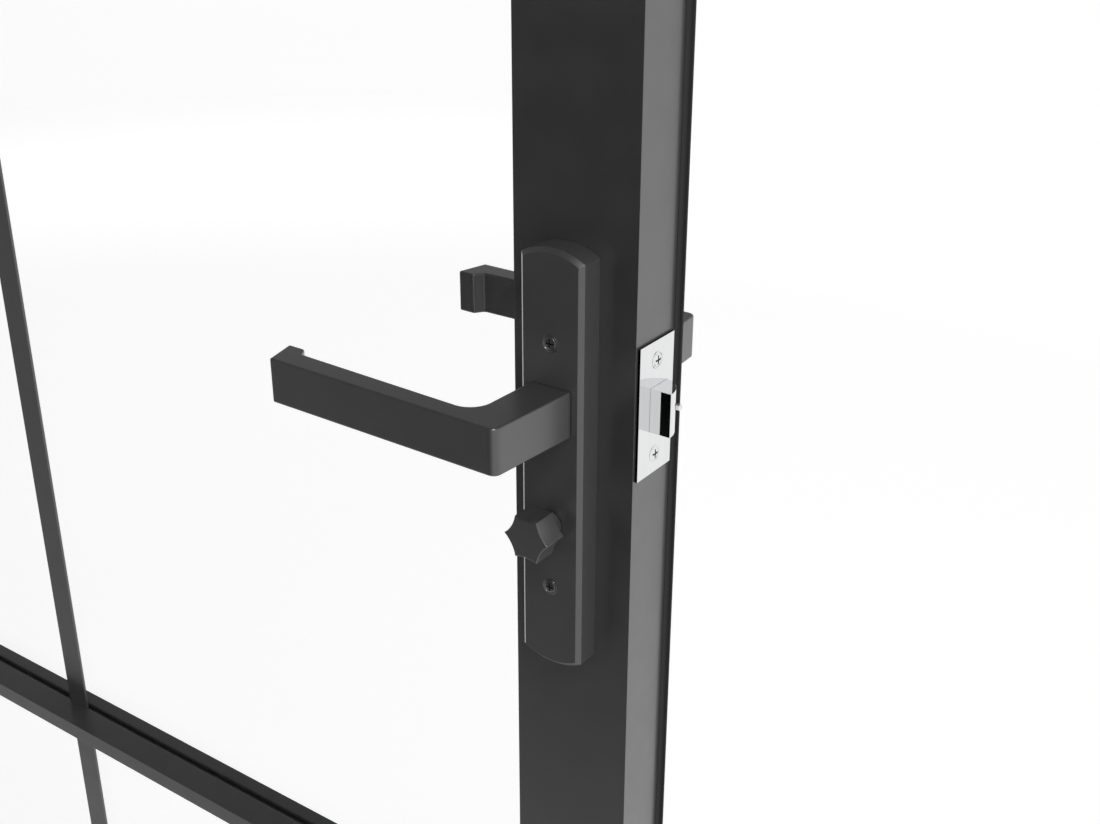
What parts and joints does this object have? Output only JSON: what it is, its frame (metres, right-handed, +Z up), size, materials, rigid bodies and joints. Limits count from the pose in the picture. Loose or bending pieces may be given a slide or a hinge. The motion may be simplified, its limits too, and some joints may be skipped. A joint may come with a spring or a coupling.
{
  "type": "glazed door",
  "caption": "Slim-framed glazed door leaf on butt hinges in a rebated outer frame, with lever handles, backplates, a star thumb-turn and a sprung latch.",
  "frame": {"origin": "centre of the hinge jamb's foot, on the floor", "axes": "+X from the hinge jamb towards the opened leaf's lock edge, +Y from the stop side to the opening side of the frame, +Z up"},
  "size_m": [1.9019, 0.1837, 2.0825],
  "materials": {
    "black_profile": "fine satin powder coat",
    "black_handle": "smooth satin black",
    "black_screw": "satin black",
    "chrome": "polished",
    "steel": "plain",
    "zinc": "cast, plain",
    "rubber": "matt",
    "black_plastic": "moulded",
    "clear_glass": "clear"
  },
  "bodies": {
    "frame": {"hinge_jamb": "black_profile", "lock_jamb": "black_profile", "head": "black_profile", "foot_caps": "black_plastic", "frame_corner_cleats": "zinc", "frame_hinge_leaves": "black_handle", "hinge_pins": "black_handle", "hinge_washers": "black_plastic", "frame_hinge_screws": "black_screw", "strike_plate": "chrome", "strike_screws": "chrome", "strike_box": "black_plastic"},
    "leaf": {"lock_stile": "black_profile", "hinge_stile": "black_profile", "top_rail": "black_profile", "bottom_rail": "black_profile", "leaf_corner_cleats": "zinc", "lower_mid_rail": "black_profile", "upper_mid_rail": "black_profile", "lower_glass": "clear_glass", "middle_glass": "clear_glass", "upper_glass": "clear_glass", "glazing_bars": "black_profile", "glazing_gaskets": "rubber", "edge_seal": "rubber", "leaf_hinge_leaves": "black_handle", "leaf_hinge_screws": "black_screw", "front_backplate": "black_handle", "rear_backplate": "black_handle", "plate_screws": "black_screw", "plate_posts": "steel", "lever_bushes": "black_plastic", "latch_case": "steel", "latch_faceplate": "chrome", "latch_screws": "chrome"},
    "handles": {"front_lever": "black_handle", "rear_lever": "black_handle", "spindle": "steel", "latch_hub": "zinc"},
    "latch_bolt": {"latch_bolt": "chrome"},
    "deadlatch": {"deadlatch_plunger": "chrome"},
    "turn": {"thumb_turn": "black_handle", "turn_spindle": "steel", "release_disc": "black_handle"}
  },
  "joints": [
    {"name": "leaf_swing", "type": "hinge", "parent": "frame", "child": "leaf", "pos_m": [-0.0095, 0.043, 0], "axis": [0, 0, 1], "range_deg": [0, 180]},
    {"name": "lever_turn", "type": "hinge", "parent": "leaf", "child": "handles", "pos_m": [0.8839, 0.051, 1.06767], "axis": [0, -1, 0], "range_deg": [0, 52], "stiffness_Nm_per_rad": 1.2, "springref_deg": -28.65},
    {"name": "latch_slide", "type": "slide", "parent": "leaf", "child": "latch_bolt", "axis": [-1, 0, 0], "range_m": [0, 0.0102]},
    {"name": "deadlatch_slide", "type": "slide", "parent": "leaf", "child": "deadlatch", "axis": [-1, 0, 0], "range_m": [0, 0.009], "stiffness_N_per_m": 150, "springref_m": -0.004},
    {"name": "turn_joint", "type": "hinge", "parent": "leaf", "child": "turn", "pos_m": [0.8839, 0.051, 1.01177], "axis": [0, 1, 0], "range_deg": [0, 90]}
  ],
  "couplings": [
    {"joint": "latch_slide", "follows": "lever_turn", "m_per_rad": 0.01123}
  ]
}
